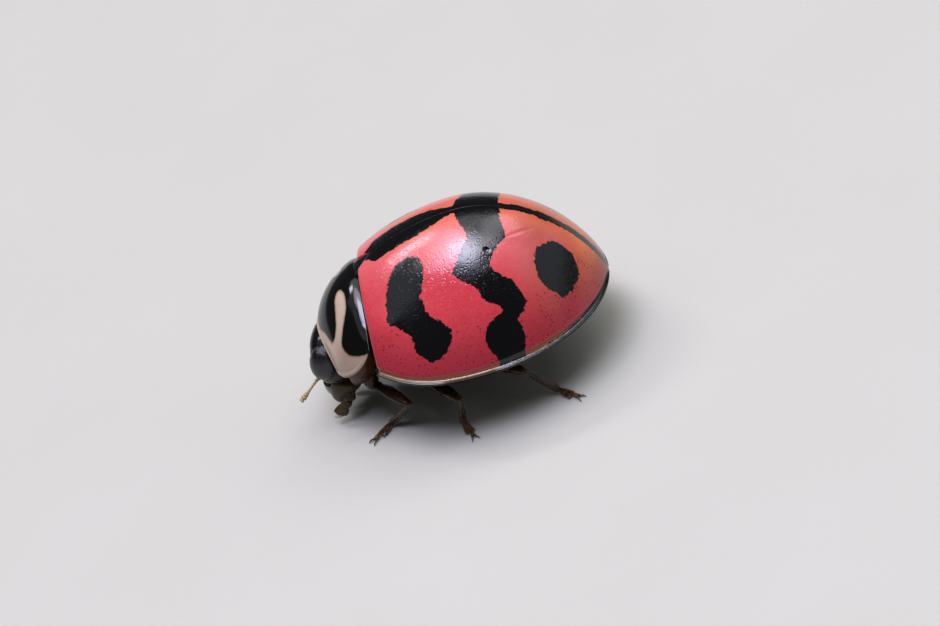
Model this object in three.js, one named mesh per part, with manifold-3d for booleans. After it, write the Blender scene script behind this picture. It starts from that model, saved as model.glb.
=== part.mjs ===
// A six-spotted zigzag ladybird, Cheilomenes sexmaculata, as a life-size museum model.
// It stands on six feet with its head hanging low and turned a little to its right.
//
// Millimetres, +Z up. The head points to -Y and the beetle's left side is +X.
// The origin is on the floor, under the middle of the body.
//
// The trunk, wing cases and head are drawn in the body frame: there y is 0 at the front edge of
// the wing cases and grows to the tail, and z is 0 at the level of the wing cases' lower rim.
// One group pitches that frame nose-up and lifts it onto the feet.

import * as THREE from "three";
import { ParametricGeometry } from "three/addons/geometries/ParametricGeometry.js";
import { mergeVertices } from "three/addons/utils/BufferGeometryUtils.js";
import Module from "manifold-3d";

const wasm = await Module();
wasm.setup();

// ---------------------------------------------------------------- driving dimensions

const GAP = 0.03; // between two pieces that touch
const SHELL = 0.5; // wall of a wing case

const ELYTRA_LENGTH = 4.75;
const ELYTRA_WIDTH = 4.82;
const DOME_HEIGHT = 2.3; // from the rim to the top of the back
const WIDEST_AT = 0.34; // shares of the length, from the front
const HIGHEST_AT = 0.47;
const FRONT_WIDTH_SHARE = 0.79; // shares of the greatest width and height
const FRONT_HEIGHT_SHARE = 0.57;
const FRONT_RIM_RISE = 0.25; // how far the rim climbs at the shoulders and at the tail
const REAR_RIM_RISE = 0.05;
const ARCH = 1.15; // radians, spaces the points across an arch evenly

const THORAX_END = 1.93; // y where the breast meets the belly
const BREAST_DEPTH = 0.95; // below the rim
const BELLY_DEPTH = 0.8;

const SCUTELLUM_WIDTH = 0.5;
const SCUTELLUM_LENGTH = 0.42;
const SCUTELLUM_THICKNESS = 0.3;

const BODY_PITCH = THREE.MathUtils.degToRad(4); // nose-up
const RIM_HEIGHT = 1.75; // of the wing cases' rim above the floor, under the pivot
const PIVOT_Y = 1.4; // in the body frame, above the origin

const NECK = new THREE.Vector3(0, -0.6, -0.3);
const HEAD_YAW = THREE.MathUtils.degToRad(-14); // nose towards the beetle's right
const HEAD_RADII = new THREE.Vector3(0.74, 0.46, 0.72);
const HEAD_CENTRE = new THREE.Vector3(0, -0.33, -0.12); // from the neck
const EYE_RADII = new THREE.Vector3(0.24, 0.27, 0.4);
const EYE_CENTRE = new THREE.Vector3(0.66, -0.37, 0.14); // from the neck
const EYE_TILT = THREE.MathUtils.degToRad(-14); // lower end forward

const THIGH_RADIUS = 0.28; // at the hip
const LIMB_RADIUS = 0.25; // of every other limb, feeler and palp at its thickest
const FEELER_BASE_RADIUS = 0.22;
const PALP_BASE_RADIUS = 0.2;

// ---------------------------------------------------------------- materials

const shellRed = { color: 0xd2434f, roughness: 0.18, metalness: 0 };
const shellBlack = { color: 0x0b0a0b, roughness: 0.15, metalness: 0 };
const cuticle = { color: 0x241009, roughness: 0.4, metalness: 0 };
const eyeBlack = { color: 0x0c0c12, roughness: 0.12, metalness: 0 };
const legBrown = { color: 0x4a2412, roughness: 0.42, metalness: 0 };
const feelerTan = { color: 0x9c7a48, roughness: 0.5, metalness: 0 };

// ---------------------------------------------------------------- frames

const bodyMatrix = new THREE.Matrix4()
  .makeTranslation(0, 0, RIM_HEIGHT)
  .multiply(new THREE.Matrix4().makeRotationX(-BODY_PITCH))
  .multiply(new THREE.Matrix4().makeTranslation(0, -PIVOT_Y, 0));
const floorToBody = bodyMatrix.clone().invert();
const headMatrix = new THREE.Matrix4()
  .makeTranslation(NECK)
  .multiply(new THREE.Matrix4().makeRotationZ(HEAD_YAW));

const inBody = (x, y, z) => new THREE.Vector3(x, y, z);
const onFloor = (x, y, z) => new THREE.Vector3(x, y, z).applyMatrix4(floorToBody);
const inHead = (x, y, z) => new THREE.Vector3(x, y, z).applyMatrix4(headMatrix);

// ---------------------------------------------------------------- solids

const MERGE_DISTANCE = 1e-4;

// A closed three.js geometry as a solid: shared corners merged, collapsed triangles dropped, and
// turned right side out.
function solid(geometry) {
  const bare = geometry.clone();
  bare.deleteAttribute("normal");
  bare.deleteAttribute("uv");
  const merged = mergeVertices(bare, MERGE_DISTANCE);
  const index = merged.index.array;
  const triVerts = [];
  for (let i = 0; i < index.length; i += 3) {
    const [a, b, c] = index.slice(i, i + 3);
    if (a !== b && b !== c && c !== a) triVerts.push(a, b, c);
  }
  const vertProperties = new Float32Array(merged.attributes.position.array);
  const build = (corners) => new wasm.Manifold(
    new wasm.Mesh({ numProp: 3, vertProperties, triVerts: new Uint32Array(corners) }),
  );
  const shape = build(triVerts);
  return shape.volume() > 0 ? shape : build(triVerts.reverse());
}

// The largest of the bodies that a cut leaves.
function largest(shape) {
  return shape.decompose().reduce((a, b) => (a.volume() > b.volume() ? a : b));
}

// Even shares from 0 to 1, both ends included, and the same from -1 to 1.
const shares = (count) => Array.from({ length: count + 1 }, (_, i) => i / count);
const sharesAcross = (count) => shares(count).map((t) => 2 * t - 1);

// Rings of points, one after another from the front of a piece to its back, as one surface.
function skin(rings) {
  const around = rings[0].length;
  const last = rings.length - 1;
  const surface = (u, v, target) => {
    target.copy(rings[Math.round(v * last)][Math.round(u * around) % around]);
  };
  return new ParametricGeometry(surface, around, last);
}

// A full body: both end rings close onto their own centre.
function fullBody(rings) {
  const closed = (ring) => {
    const centre = inBody(0, 0, 0);
    ring.forEach((p) => centre.addScaledVector(p, 1 / ring.length));
    return ring.map(() => centre);
  };
  return solid(skin([closed(rings[0]), ...rings, closed(rings[rings.length - 1])]));
}

// A bent plate, each ring running out over its top and back under it: both end rings close onto
// the middle of the wall, halfway to the point on the other face.
function bentPlate(rings) {
  const closed = (ring) => ring.map((p, i) => p.clone().lerp(ring[ring.length - 1 - i], 0.5));
  return solid(skin([closed(rings[0]), ...rings, closed(rings[rings.length - 1])]));
}

// ---------------------------------------------------------------- the dome of the wing cases

// From the greatest size at `peak`, the size falls to `front` at 0 and to nothing at 1.
function swell(along, peak, front, frontPower, rear) {
  if (along < peak) return 1 - (1 - front) * ((peak - along) / peak) ** frontPower;
  return rear((along - peak) / (1 - peak));
}

function halfWidth(along, inset) {
  const full = ELYTRA_WIDTH / 2;
  const front = (full * FRONT_WIDTH_SHARE - inset) / (full - inset);
  const rear = (t) => Math.sqrt(Math.max(0, 1 - t ** 2.2));
  return (full - inset) * swell(along, WIDEST_AT, front, 2.7, rear);
}

function domeHeight(along, inset) {
  const front = (DOME_HEIGHT * FRONT_HEIGHT_SHARE - inset) / (DOME_HEIGHT - inset);
  const rear = (t) => Math.max(0, 1 - t * t) ** 0.7;
  return (DOME_HEIGHT - inset) * swell(along, HIGHEST_AT, front, 2, rear);
}

function rimHeight(along) {
  const front = Math.max(0, (0.4 - along) / 0.4);
  const rear = Math.max(0, (along - 0.5) / 0.5);
  return FRONT_RIM_RISE * front ** 2 + REAR_RIM_RISE * rear ** 2;
}

// Across an arch, from -1 to 1, in steps that are shortest near the rims.
const arched = (across) => Math.sin(across * ARCH) / Math.sin(ARCH);

// A point of the dome: the cross-section is a parabola, and the inset draws the whole dome in by
// a wall's thickness.
function domePoint(along, across, inset) {
  const side = arched(across);
  return inBody(
    halfWidth(along, inset) * side,
    (ELYTRA_LENGTH - inset) * along,
    rimHeight(along) + domeHeight(along, inset) * (1 - side * side),
  );
}

// ---------------------------------------------------------------- wing cases

const ELYTRON_STATIONS = 23;
const ELYTRON_ACROSS = 11;

// Stations close up towards the tail, where the dome turns down most.
const alongElytra = shares(ELYTRON_STATIONS).map((t) => 1 - (1 - t) ** 1.5);

const scutellumShape = new THREE.Shape()
  .moveTo(-SCUTELLUM_WIDTH / 2, 0)
  .lineTo(SCUTELLUM_WIDTH / 2, 0)
  .lineTo(0, SCUTELLUM_LENGTH);

// The little triangle between the wing cases, lying in the slope of their front end.
const SCUTELLUM_SHARE = SCUTELLUM_LENGTH / ELYTRA_LENGTH;
const SCUTELLUM_SLOPE = Math.atan2(
  domeHeight(SCUTELLUM_SHARE, 0) - domeHeight(0, 0),
  SCUTELLUM_LENGTH,
);
const SCUTELLUM_FRONT = inBody(0, 0.02, domeHeight(0, 0) + rimHeight(0.05));

function scutellumSolid(grow) {
  const geometry = new THREE.ExtrudeGeometry(scutellumShape, {
    depth: SCUTELLUM_THICKNESS + 2 * grow,
    bevelEnabled: grow > 0,
    bevelThickness: 0,
    bevelSize: grow,
    bevelSegments: 1,
  });
  geometry.translate(0, 0, -SCUTELLUM_THICKNESS - grow);
  geometry.rotateX(SCUTELLUM_SLOPE);
  geometry.translate(0, SCUTELLUM_FRONT.y, SCUTELLUM_FRONT.z);
  return solid(geometry);
}

function elytronSolid(side) {
  const across = shares(ELYTRON_ACROSS);
  const rings = alongElytra.map((along) => {
    const outer = across.map((t) => domePoint(along, t, 0));
    const inner = across.map((t) => domePoint(along, t, SHELL)).reverse();
    return [...outer, ...inner].map((p) => p.setX(side * (p.x + GAP / 2)));
  });
  return bentPlate(rings).subtract(scutellumSolid(GAP));
}

// ---------------------------------------------------------------- breast and belly

const TRUNK_INSET = SHELL + GAP;
const TRUNK_LENGTH = ELYTRA_LENGTH - TRUNK_INSET;
const TRUNK_TIP = 0.03; // cut off the pointed end
const TRUNK_ACROSS = 12;
const BREAST_STATIONS = 8;
const BELLY_STATIONS = 11;
const BELLY_TAPER_START = 0.9; // y

// Flat below and turned up to nothing at both sides.
const underside = (side) => 1 - side ** 4;

function trunkDepth(y) {
  const start = BELLY_TAPER_START;
  const t = THREE.MathUtils.clamp((y - start) / (TRUNK_LENGTH - start), 0, 1);
  return THREE.MathUtils.lerp(BREAST_DEPTH, BELLY_DEPTH, t) * Math.sqrt(1 - t ** 3);
}

// The trunk fills the dome above the rim and bulges below it as a flat arch.
function trunkRing(y, grow) {
  const along = y / TRUNK_LENGTH;
  const top = sharesAcross(TRUNK_ACROSS).map((across) => domePoint(along, across, TRUNK_INSET));
  const bottom = sharesAcross(TRUNK_ACROSS).map((across) => {
    const p = domePoint(along, across, TRUNK_INSET);
    return p.setZ(rimHeight(along) - grow - trunkDepth(y) * underside(arched(across)));
  });
  return [...top, ...bottom.reverse().slice(1, -1)];
}

function trunkSolid(from, to, count, grow) {
  return fullBody(shares(count).map((t) => trunkRing(THREE.MathUtils.lerp(from, to, t), grow)));
}

const breast = (grow) => trunkSolid(GAP, THORAX_END, BREAST_STATIONS, grow);
const belly = (grow) => {
  const start = THORAX_END + GAP - grow;
  return trunkSolid(start, TRUNK_LENGTH - TRUNK_TIP, BELLY_STATIONS, grow);
};

// ---------------------------------------------------------------- prothorax

// The shield: its midline and its side edge, from the wing cases to the head.
const shieldMidline = new THREE.CubicBezierCurve3(
  inBody(0, -0.02, 1.47),
  inBody(0, -0.48, 1.32),
  inBody(0, -0.9, 0.96),
  inBody(0, -1.09, 0.36),
);
const shieldEdge = new THREE.CubicBezierCurve3(
  inBody(1.56, -0.06, 0.6),
  inBody(1.74, -0.39, 0.1),
  inBody(1.48, -0.82, -0.02),
  inBody(1.03, -0.84, -0.08),
);
const SHIELD_SHARPNESS = 1.25; // above 1 the arch is more pointed than a parabola
const SHIELD_HEART = inBody(0, -0.1, -0.1); // the point that its inner face is drawn in towards
const SHIELD_STATIONS = 9;
const SHIELD_ACROSS = 16;

// Share of the outer size that the inner face has: the front edge is the thinnest.
const shieldInside = (along) => 0.7 + 0.16 * along;

function shieldPoint(along, across, size) {
  const middle = shieldMidline.getPoint(along);
  const edge = shieldEdge.getPoint(along);
  const side = arched(across);
  const fall = 1 - Math.max(0, 1 - side * side) ** SHIELD_SHARPNESS;
  const p = middle.lerp(edge, fall).setX(edge.x * side);
  return p.sub(SHIELD_HEART).multiplyScalar(size).add(SHIELD_HEART);
}

const acrossShield = sharesAcross(SHIELD_ACROSS);

function pronotumSolid(grow) {
  const rings = shares(SHIELD_STATIONS).map((along) => {
    const outer = acrossShield.map((across) => shieldPoint(along, across, 1 + grow));
    const size = shieldInside(along) - grow;
    const inner = acrossShield.map((across) => shieldPoint(along, across, size));
    return [...outer, ...inner.reverse()];
  });
  return bentPlate(rings);
}

// The block under the shield that carries the front legs.
const CHEST_STATIONS = 5;
const CHEST_ALONG = 0.62; // share of the shield's length that it fills
const CHEST_DEPTH = 1.0; // below the shield's edge, at the back and at the front
const CHEST_FRONT_DEPTH = 0.85;

function chestSolid(grow) {
  const rings = shares(CHEST_STATIONS).map((t) => {
    const along = t * CHEST_ALONG;
    const size = shieldInside(along) - GAP;
    const edge = shieldPoint(along, 1, size);
    const depth = THREE.MathUtils.lerp(CHEST_DEPTH, CHEST_FRONT_DEPTH, t);
    const top = acrossShield.map((across) => shieldPoint(along, across, size));
    const bottom = acrossShield.map((across) => {
      const side = arched(across);
      return inBody(edge.x * side, edge.y, edge.z - grow - depth * underside(side));
    });
    return [...top, ...bottom.reverse().slice(1, -1)];
  });
  return fullBody(rings);
}

// ---------------------------------------------------------------- head

function ball(radii, around, upright) {
  const geometry = new THREE.SphereGeometry(1, around, upright);
  geometry.rotateX(Math.PI / 2);
  geometry.scale(radii.x, radii.y, radii.z);
  return geometry;
}

function headSolid(grow) {
  const geometry = ball(HEAD_RADII.clone().addScalar(grow), 18, 11);
  geometry.translate(HEAD_CENTRE.x, HEAD_CENTRE.y, HEAD_CENTRE.z);
  return solid(geometry.applyMatrix4(headMatrix));
}

function eyeSolid(side, grow) {
  const geometry = ball(EYE_RADII.clone().addScalar(grow), 14, 10);
  geometry.rotateX(EYE_TILT);
  geometry.translate(side * EYE_CENTRE.x, EYE_CENTRE.y, EYE_CENTRE.z);
  return solid(geometry.applyMatrix4(headMatrix));
}

const LIMB_STATIONS = 6;
const LIMB_SIDES = 10;

// A rod with round ends along a line, its radius running from the first end's to the last end's.
function limb(from, to, firstRadius, lastRadius) {
  const length = from.distanceTo(to);
  const profile = shares(LIMB_STATIONS).map((t) => {
    const angle = Math.PI * t;
    const radius = THREE.MathUtils.lerp(firstRadius, lastRadius, t) * Math.sqrt(Math.sin(angle));
    const travelled = 0.5 - 0.5 * Math.cos(angle);
    const height = THREE.MathUtils.lerp(-firstRadius, length + lastRadius, travelled);
    return new THREE.Vector2(radius, height);
  });
  const geometry = new THREE.LatheGeometry(profile, LIMB_SIDES);
  const direction = to.clone().sub(from).normalize();
  const upright = new THREE.Vector3(0, 1, 0);
  geometry.applyQuaternion(new THREE.Quaternion().setFromUnitVectors(upright, direction));
  geometry.translate(from.x, from.y, from.z);
  return solid(geometry);
}

// Upper lip and the cheeks beside it, a short wedge under the forehead.
const LIP_WIDTH = 0.76;
const LIP_FRONT_WIDTH = 0.6;
const LIP_LENGTH = 0.3; // at its corners
const LIP_BOW = 0.18; // how far the front edge's control point lies beyond them
const LIP_THICKNESS = 0.36;
const LIP_TOP = inBody(0, -0.26, -0.66); // from the neck, at the middle of its back edge

function labrumSolid(grow) {
  const outline = new THREE.Shape()
    .moveTo(-LIP_WIDTH / 2, 0)
    .lineTo(LIP_WIDTH / 2, 0)
    .lineTo(LIP_FRONT_WIDTH / 2, -LIP_LENGTH)
    .quadraticCurveTo(0, -LIP_LENGTH - LIP_BOW, -LIP_FRONT_WIDTH / 2, -LIP_LENGTH);
  const geometry = new THREE.ExtrudeGeometry(outline, {
    depth: LIP_THICKNESS,
    curveSegments: 6,
    bevelEnabled: grow > 0,
    bevelThickness: grow,
    bevelSize: grow,
    bevelSegments: 1,
  });
  geometry.rotateX(Math.PI / 2);
  geometry.translate(LIP_TOP.x, LIP_TOP.y, LIP_TOP.z);
  return solid(geometry.applyMatrix4(headMatrix));
}

function palpSolid(side) {
  const from = inHead(side * 0.36, -0.3, -0.78);
  const to = inHead(side * 0.46, -0.42, -1.14);
  return limb(from, to, PALP_BASE_RADIUS, LIMB_RADIUS);
}

// The left feeler points forward, the right one hangs beside the mouth.
const feelers = {
  left: [inHead(0.68, -0.74, -0.46), inHead(1.0, -1.04, -0.58)],
  right: [inHead(-0.74, -0.5, -0.46), inHead(-0.86, -0.6, -0.92)],
};

// ---------------------------------------------------------------- legs

// Hip and knee are places in the body frame, ankle and toe places above the floor.
const legs = {
  front: {
    hip: (side) => inBody(side * 0.5, -0.34, -0.97),
    knee: (side) => inBody(side * 1.38, 0.35, -1.02),
    ankle: (side) => onFloor(side * 0.86, -1.66, 0.3),
    toe: (side) => onFloor(side * 1.2, -2.1, 0.17),
  },
  middle: {
    hip: (side) => inBody(side * 0.85, 0.78, -1.0),
    knee: (side) => inBody(side * 1.86, 1.39, -0.82),
    ankle: (side) => onFloor(side * 1.5, -0.24, 0.3),
    toe: (side) => onFloor(side * 2.0, -0.06, 0.17),
  },
  hind: {
    hip: (side) => inBody(side * 0.78, 1.95, -0.92),
    knee: (side) => inBody(side * 1.56, 2.72, -0.74),
    ankle: (side) => onFloor(side * 1.38, 1.72, 0.3),
    toe: (side) => onFloor(side * 1.74, 2.14, 0.17),
  },
};

const SLAB = 12; // edge of the block below the floor that cuts the soles flat
const floorSlab = solid(
  new THREE.BoxGeometry(SLAB, SLAB, SLAB).translate(0, 0, -SLAB / 2).applyMatrix4(floorToBody),
);

function legSolids(leg, side, trunk) {
  const [hip, knee, ankle, toe] = [leg.hip(side), leg.knee(side), leg.ankle(side), leg.toe(side)];
  const thigh = (grow) => limb(hip, knee, THIGH_RADIUS + grow, LIMB_RADIUS + grow);
  const shin = limb(knee, ankle, LIMB_RADIUS, LIMB_RADIUS);
  const foot = (grow) => limb(ankle, toe, LIMB_RADIUS + grow, LIMB_RADIUS + grow);
  return {
    femur: largest(thigh(0).subtract(trunk)),
    tibia: largest(shin.subtract(thigh(GAP)).subtract(foot(GAP))),
    tarsus: largest(foot(0).subtract(floorSlab)),
  };
}

// ---------------------------------------------------------------- assembly

const body = new THREE.Group();
body.applyMatrix4(bodyMatrix);
const group = new THREE.Group();
group.add(body);

function addPiece(name, shape, look) {
  const { numProp, vertProperties, triVerts } = shape.getMesh();
  const geometry = new THREE.BufferGeometry();
  geometry.setAttribute("position", new THREE.InterleavedBufferAttribute(
    new THREE.InterleavedBuffer(vertProperties, numProp), 3, 0,
  ));
  geometry.setIndex(new THREE.BufferAttribute(triVerts, 1));
  geometry.computeVertexNormals();
  const mesh = new THREE.Mesh(geometry, new THREE.MeshStandardMaterial(look));
  mesh.name = name;
  body.add(mesh);
}

const sides = { left: 1, right: -1 };
const chestGrown = chestSolid(GAP);
const shieldGrown = pronotumSolid(GAP);
const trunk = breast(GAP).add(belly(GAP)).add(chestGrown).add(shieldGrown);

addPiece("scutellum", scutellumSolid(0), shellBlack);
addPiece("pronotum", pronotumSolid(0), shellBlack);
addPiece("prosternum", chestSolid(0), cuticle);
addPiece("thorax", breast(0).subtract(scutellumSolid(GAP)), cuticle);
addPiece("abdomen", belly(0), cuticle);

const headGrown = headSolid(GAP);
const labrum = labrumSolid(0);
const labrumGrown = labrumSolid(GAP);
const head = headSolid(0)
  .subtract(shieldGrown)
  .subtract(chestGrown)
  .subtract(eyeSolid(1, GAP))
  .subtract(eyeSolid(-1, GAP));
addPiece("head", largest(head), cuticle);
addPiece("labrum", largest(labrum.subtract(headGrown)), cuticle);

for (const [name, side] of Object.entries(sides)) {
  addPiece(`elytron_${name}`, elytronSolid(side), shellRed);
  addPiece(`eye_${name}`, largest(eyeSolid(side, 0).subtract(shieldGrown)), eyeBlack);
  const palp = palpSolid(side).subtract(headGrown).subtract(labrumGrown);
  addPiece(`palp_${name}`, largest(palp), legBrown);
  const feeler = limb(...feelers[name], FEELER_BASE_RADIUS, LIMB_RADIUS);
  const feelerCut = feeler.subtract(headGrown).subtract(eyeSolid(side, GAP));
  addPiece(`antenna_${name}`, largest(feelerCut), feelerTan);
  for (const [place, leg] of Object.entries(legs)) {
    const pieces = legSolids(leg, side, trunk);
    for (const [part, shape] of Object.entries(pieces)) {
      addPiece(`${place}_leg_${name}_${part}`, shape, legBrown);
    }
  }
}

export default group;
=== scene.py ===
import bpy
import numpy as np
from mathutils import Matrix, Vector


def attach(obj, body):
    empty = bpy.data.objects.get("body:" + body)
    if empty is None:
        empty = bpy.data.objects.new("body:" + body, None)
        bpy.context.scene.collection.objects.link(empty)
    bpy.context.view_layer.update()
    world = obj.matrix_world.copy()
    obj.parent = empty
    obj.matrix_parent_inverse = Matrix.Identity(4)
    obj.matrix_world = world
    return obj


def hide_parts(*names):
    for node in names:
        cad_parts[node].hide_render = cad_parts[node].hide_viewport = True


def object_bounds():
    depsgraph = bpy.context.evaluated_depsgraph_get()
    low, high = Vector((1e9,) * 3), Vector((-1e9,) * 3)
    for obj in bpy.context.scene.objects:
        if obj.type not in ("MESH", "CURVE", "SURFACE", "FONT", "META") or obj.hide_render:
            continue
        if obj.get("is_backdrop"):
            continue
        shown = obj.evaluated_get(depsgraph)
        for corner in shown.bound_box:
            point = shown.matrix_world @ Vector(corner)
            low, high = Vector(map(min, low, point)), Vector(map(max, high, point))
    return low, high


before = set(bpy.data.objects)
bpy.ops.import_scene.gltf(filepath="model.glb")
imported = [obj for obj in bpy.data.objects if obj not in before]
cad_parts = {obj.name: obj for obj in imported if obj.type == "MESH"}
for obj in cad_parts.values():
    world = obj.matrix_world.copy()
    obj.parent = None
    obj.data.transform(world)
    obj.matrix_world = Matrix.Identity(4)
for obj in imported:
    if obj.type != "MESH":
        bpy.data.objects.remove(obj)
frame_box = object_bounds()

# A six-spotted zigzag ladybird, Cheilomenes sexmaculata, as a life-size museum model. It stands on
# six feet with its head hanging low and turned a little to its right. Every shell plate, eye,
# mouthpart and leg segment is a piece of its own, in the order in which the model is put together.

# ------------------------
# Stand. The body is drawn in millimetres in a frame of its own: y is 0 at the front edge of the
# wing cases and grows to the tail, z is 0 at their lower rim, and +x is the beetle's left. The
# whole body is pitched nose-up and carried by the legs at its height above the floor.

MM = 0.001
BODY_PITCH = np.radians(4.0)
RIM_ABOVE_FLOOR = 1.75
PIVOT_Y = 1.4


def turned(points, angle, first=1, second=2):
    """Points with two coordinates turned: the first gains the second times the sine, and the
    second loses the first times the sine."""
    points = np.array(points, float)
    a, b = points[..., first].copy(), points[..., second].copy()
    points[..., first] = a * np.cos(angle) + b * np.sin(angle)
    points[..., second] = b * np.cos(angle) - a * np.sin(angle)
    return points


def on_stand(points):
    """Body points in millimetres to the model's frame in metres: pitched about the pivot, then
    lifted to the rim's height."""
    return MM * (turned(points - np.array([0, PIVOT_Y, 0]), BODY_PITCH) + [0, 0, RIM_ABOVE_FLOOR])


def in_body(points):
    """The other way: points above the floor, in millimetres, to body points."""
    return turned(points - np.array([0, 0, RIM_ABOVE_FLOOR]), -BODY_PITCH) + [0, PIVOT_Y, 0]


def unit(vectors):
    """Vectors over their lengths."""
    return vectors / np.maximum(np.linalg.norm(vectors, axis=-1, keepdims=True), 1e-12)


# ------------------------
# Studio. A pale floor, soft boxes above, in front and behind, and a long lens that looks at the
# beetle's left side from above, tipped so that the head hangs low in the frame.

FRAME_WIDTH_PX = 940
PX_PER_MM = 51.27
SENSOR_MM = 36.0
VIEW_DISTANCE = 120.0
NEAREST_SEEN = 0.01
VIEW_AZIMUTH, VIEW_ELEVATION, VIEW_ROLL = np.radians([97.22, 36.5, -17.78])
AIM = np.array([0.0, 2.3, 1.0])  # a body point, and how far it lies off the middle of the frame
AIM_RIGHT_PX, AIM_UP_PX = 6.03, 53.43
LAMP_DISTANCE = 0.3


def view_axes():
    """Right, up and back of the camera in the body frame: back from azimuth and elevation, then
    right and up turned about it by the roll."""
    flat = np.cos(VIEW_ELEVATION)
    across, away = np.sin(VIEW_AZIMUTH) * flat, -np.cos(VIEW_AZIMUTH) * flat
    back = np.array([across, away, np.sin(VIEW_ELEVATION)])
    right = unit(np.cross([0, 0, 1], back))
    up = np.cross(back, right)
    cos, sin = np.cos(VIEW_ROLL), np.sin(VIEW_ROLL)
    return np.array([cos * right + sin * up, -sin * right + cos * up, back])


def show(name, data):
    """A new object in the scene with this data."""
    shown = bpy.data.objects.new(name, data)
    bpy.context.collection.objects.link(shown)
    return shown


def place_camera():
    """Stands the camera back from the point in the middle of the frame. The focal length over
    the sensor's width is the distance over the width that is seen there."""
    axes = view_axes()
    right, up, back = axes
    target = AIM - (right * AIM_RIGHT_PX + up * AIM_UP_PX) / PX_PER_MM
    lens = bpy.data.cameras.new("view")
    lens.sensor_width = SENSOR_MM
    lens.lens = SENSOR_MM * PX_PER_MM * VIEW_DISTANCE / FRAME_WIDTH_PX
    lens.clip_start = NEAREST_SEEN
    turn = Matrix(turned(axes, BODY_PITCH).T.tolist())
    place = Vector(on_stand(target + back * VIEW_DISTANCE))
    camera = show("view", lens)
    camera.matrix_world = Matrix.Translation(place) @ turn.to_4x4()
    bpy.context.scene.camera = camera


def soft_box(name, towards, long_side, size, radiance, colour):
    """A rectangular lamp in that direction, facing the beetle, its first size along the long
    side. Watts are pi times radiance times area."""
    away = Vector(towards).normalized()
    first = (Vector(long_side) - away * away.dot(Vector(long_side))).normalized()
    lamp = bpy.data.lights.new(name, "AREA")
    lamp.shape = "RECTANGLE"
    lamp.size, lamp.size_y = size
    lamp.energy = np.pi * radiance * size[0] * size[1]
    lamp.color = colour
    turn = Matrix((first, away.cross(first), away)).transposed()
    show(name, lamp).matrix_world = Matrix.Translation(away * LAMP_DISTANCE) @ turn.to_4x4()


place_camera()
SOFT_BOXES = {
    "key_box": ((0.33, 0.0, 0.93), (0.5, 0.85, 0), (0.138, 0.105), 17.5, (0.73, 0.73, 1.0)),
    "key_glow": ((0.19, 0.03, 0.98), (0.6, 0.8, 0), (0.26, 0.14), 6.0, (0.96, 0.94, 1.0)),
    "shoulder_strip": (
        (-0.255, -0.46, 0.855), (0.1, 1, 0), (0.095, 0.044), 19.0, (0.92, 0.90, 1.0)
    ),
    "rear_top": ((-0.28, 0.62, 0.74), (1, 0.3, 0), (0.16, 0.08), 3.5, (0.94, 0.95, 1.0)),
    "rear_shoulder": ((0.02, 0.46, 0.89), (1, 0.1, 0), (0.20, 0.07), 2.6, (0.84, 0.86, 1.0)),
    "top_sheet": ((-0.15, 0.08, 1.0), (0, 1, 0), (0.34, 0.24), 1.8, (1.0, 0.98, 1.0)),
    "front_panel": ((0.20, -0.60, 0.78), (1, 0.2, 0), (0.24, 0.12), 0.7, (0.82, 0.86, 1.0)),
    "rear_panel": ((0, 0.88, 0.47), (1, 0, 0), (0.44, 0.20), 0.6, (0.84, 0.92, 1.0)),
}
for name, setting in SOFT_BOXES.items():
    soft_box(name, *setting)

world = bpy.data.worlds.new("studio")
world.use_nodes = True
room_light = world.node_tree.nodes["Background"].inputs
room_light["Color"].default_value = (0.75, 0.8, 0.85, 1)
room_light["Strength"].default_value = 0.10
bpy.context.scene.world = world
bpy.context.scene.view_settings.view_transform = "Standard"


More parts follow.
